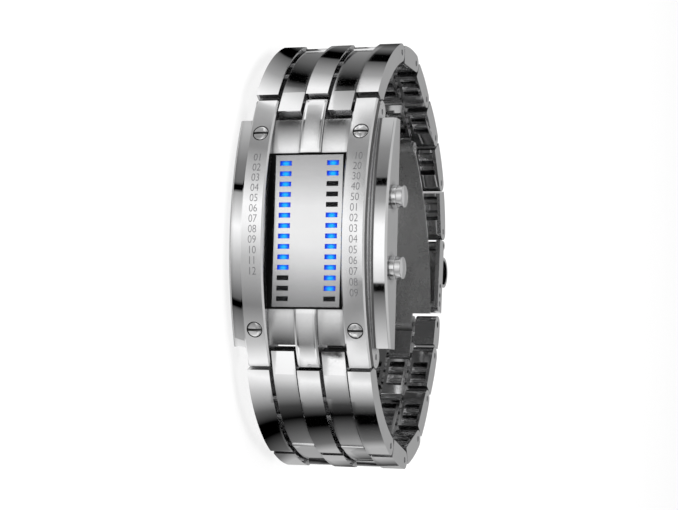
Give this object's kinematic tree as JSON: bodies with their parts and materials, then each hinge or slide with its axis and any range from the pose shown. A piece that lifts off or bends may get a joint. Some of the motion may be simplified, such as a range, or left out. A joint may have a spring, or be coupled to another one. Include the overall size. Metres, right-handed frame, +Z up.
{
  "type": "led watch",
  "caption": "Wristwatch with light columns behind a mirror, screwed side plates, two push buttons and a hinged link bracelet closed by a folding clasp.",
  "frame": {"origin": "middle of the closed watch's box, on the ground it lies on", "axes": "+X from 12 o'clock to 6 o'clock along the head, +Y from the dial to the wrist and the clasp, +Z up across the band from the left side guard to the push buttons"},
  "size_m": [0.0753, 0.0562, 0.0311],
  "materials": {
    "steel_brushed": "fine satin grain along the band",
    "steel_polished": "mirror polished",
    "steel_sheet": "rolled sheet",
    "steel_pin": "ground",
    "mirror": "satin mirror",
    "glass": "clear",
    "light_blue": "translucent blue",
    "rubber_black": "matt",
    "plastic_black": "moulded",
    "board": "coated",
    "cell_steel": "plated"
  },
  "bodies": {
    "head": {"case": "steel_brushed", "case_back": "steel_brushed", "gasket": "rubber_black", "back_screws": "steel_polished", "module_frame": "plastic_black", "led_board": "board", "lights_hours": "light_blue", "lights_minutes": "light_blue", "mirror_mask": "mirror", "crystal": "glass", "end_panel_12": "steel_polished", "end_panel_6": "steel_polished", "centre_bar_12": "steel_polished", "centre_bar_6": "steel_polished", "plate_left": "steel_brushed", "plate_right": "steel_brushed", "plate_screw_1": "steel_polished", "plate_screw_2": "steel_polished", "plate_screw_3": "steel_polished", "plate_screw_4": "steel_polished", "guard_left": "steel_brushed", "guard_right": "steel_brushed", "cell_12": "cell_steel", "cell_6": "cell_steel", "button_tube_upper": "steel_polished", "button_tube_lower": "steel_polished", "lug_pin_12": "steel_pin", "lug_pin_6": "steel_pin"},
    "link_12_1": {"link_12_1": "steel_brushed", "pin_12_1": "steel_pin"},
    "link_12_2": {"link_12_2": "steel_brushed", "pin_12_2": "steel_pin"},
    "link_12_3": {"link_12_3": "steel_brushed", "pin_12_3": "steel_pin"},
    "link_12_4": {"link_12_4": "steel_brushed", "pin_12_4": "steel_pin"},
    "link_12_5": {"link_12_5": "steel_brushed", "pin_12_5": "steel_pin"},
    "link_12_6": {"link_12_6": "steel_brushed", "pin_12_6": "steel_pin"},
    "cover": {"clasp_cover": "steel_brushed", "cover_pin": "steel_pin"},
    "blade_middle": {"blade_middle": "steel_sheet"},
    "blade_end": {"blade_end": "steel_sheet", "spring_bar": "steel_pin"},
    "link_6_1": {"link_6_1": "steel_brushed", "pin_6_1": "steel_pin"},
    "link_6_2": {"link_6_2": "steel_brushed", "pin_6_2": "steel_pin"},
    "link_6_3": {"link_6_3": "steel_brushed", "pin_6_3": "steel_pin"},
    "link_6_4": {"link_6_4": "steel_brushed", "pin_6_4": "steel_pin"},
    "link_6_5": {"link_6_5": "steel_brushed", "pin_6_5": "steel_pin"},
    "link_6_6": {"link_6_6": "steel_brushed"},
    "flap": {"safety_flap": "steel_brushed"},
    "button_upper": {"button_upper": "steel_polished"},
    "button_lower": {"button_lower": "steel_polished"}
  },
  "joints": [
    {"name": "hinge_12_1", "type": "hinge", "parent": "head", "child": "link_12_1", "pos_m": [-0.0233, -0.01937, 0.01405], "axis": [0, 0, 1], "range_deg": [0, 6.5]},
    {"name": "hinge_12_2", "type": "hinge", "parent": "link_12_1", "child": "link_12_2", "pos_m": [-0.03579, -0.00813, 0.01405], "axis": [0, 0, 1], "range_deg": [0, 14.66]},
    {"name": "hinge_12_3", "type": "hinge", "parent": "link_12_2", "child": "link_12_3", "pos_m": [-0.03562, 0.00127, 0.01405], "axis": [0, 0, 1], "range_deg": [0, 21.71]},
    {"name": "hinge_12_4", "type": "hinge", "parent": "link_12_3", "child": "link_12_4", "pos_m": [-0.03037, 0.00906, 0.01405], "axis": [0, 0, 1], "range_deg": [0, 16.9]},
    {"name": "hinge_12_5", "type": "hinge", "parent": "link_12_4", "child": "link_12_5", "pos_m": [-0.0242, 0.01616, 0.01405], "axis": [0, 0, 1], "range_deg": [0, 23.87]},
    {"name": "hinge_12_6", "type": "hinge", "parent": "link_12_5", "child": "link_12_6", "pos_m": [-0.01623, 0.02114, 0.01405], "axis": [0, 0, 1], "range_deg": [-4.5, 0]},
    {"name": "cover_hinge", "type": "hinge", "parent": "link_12_6", "child": "cover", "pos_m": [-0.00707, 0.02325, 0.01405], "axis": [0, 0, 1], "range_deg": [-37.58, 0]},
    {"name": "blade_hinge", "type": "hinge", "parent": "cover", "child": "blade_middle", "pos_m": [0.0069, 0.02173, 0.01405], "axis": [0, 0, 1], "range_deg": [0, 37.02]},
    {"name": "clasp_fold", "type": "hinge", "parent": "blade_middle", "child": "blade_end", "pos_m": [-0.02144, 0.01059, 0.01405], "axis": [0, 0, -1], "range_deg": [0, 88]},
    {"name": "hinge_6_1", "type": "hinge", "parent": "head", "child": "link_6_1", "pos_m": [0.0185, -0.01937, 0.01405], "axis": [0, 0, 1], "range_deg": [0, 11.08]},
    {"name": "hinge_6_2", "type": "hinge", "parent": "link_6_1", "child": "link_6_2", "pos_m": [0.0335, -0.00906, 0.01405], "axis": [0, 0, 1], "range_deg": [0, 7.1]},
    {"name": "hinge_6_3", "type": "hinge", "parent": "link_6_2", "child": "link_6_3", "pos_m": [0.03609, -0.00003, 0.01405], "axis": [0, 0, 1], "range_deg": [-0.50398, 0]},
    {"name": "hinge_6_4", "type": "hinge", "parent": "link_6_3", "child": "link_6_4", "pos_m": [0.03241, 0.00863, 0.01405], "axis": [0, 0, 1], "range_deg": [-4.36, 0]},
    {"name": "hinge_6_5", "type": "hinge", "parent": "link_6_4", "child": "link_6_5", "pos_m": [0.02501, 0.01441, 0.01405], "axis": [0, 0, 1], "range_deg": [-3.53, 0]},
    {"name": "hinge_6_6", "type": "hinge", "parent": "link_6_5", "child": "link_6_6", "pos_m": [0.01687, 0.01911, 0.01405], "axis": [0, 0, 1], "range_deg": [-1.67, 0]},
    {"name": "flap_hinge", "type": "hinge", "parent": "cover", "child": "flap", "pos_m": [-0.00443, 0.02379, 0.01405], "axis": [0, 0, 1], "range_deg": [0, 105]},
    {"name": "press_upper", "type": "slide", "parent": "head", "child": "button_upper", "axis": [0, 0, -1], "range_m": [0, 0.0005], "stiffness_N_per_m": 400, "springref_m": -0.0005},
    {"name": "press_lower", "type": "slide", "parent": "head", "child": "button_lower", "axis": [0, 0, -1], "range_m": [0, 0.0005], "stiffness_N_per_m": 400, "springref_m": -0.0005}
  ],
  "couplings": [
    {"joint": "hinge_12_1", "follows": "clasp_fold", "ratio": 0.073841},
    {"joint": "hinge_12_2", "follows": "clasp_fold", "ratio": 0.16659},
    {"joint": "hinge_12_3", "follows": "clasp_fold", "ratio": 0.24669},
    {"joint": "hinge_12_4", "follows": "clasp_fold", "ratio": 0.19202},
    {"joint": "hinge_12_5", "follows": "clasp_fold", "ratio": 0.27123},
    {"joint": "hinge_12_6", "follows": "clasp_fold", "ratio": -0.051125},
    {"joint": "cover_hinge", "follows": "clasp_fold", "ratio": -0.4271},
    {"joint": "blade_hinge", "follows": "clasp_fold", "ratio": 0.42072},
    {"joint": "hinge_6_1", "follows": "clasp_fold", "ratio": 0.12594},
    {"joint": "hinge_6_2", "follows": "clasp_fold", "ratio": 0.080636},
    {"joint": "hinge_6_3", "follows": "clasp_fold", "ratio": -0.005727},
    {"joint": "hinge_6_4", "follows": "clasp_fold", "ratio": -0.049511},
    {"joint": "hinge_6_5", "follows": "clasp_fold", "ratio": -0.040136},
    {"joint": "hinge_6_6", "follows": "clasp_fold", "ratio": -0.018955}
  ]
}
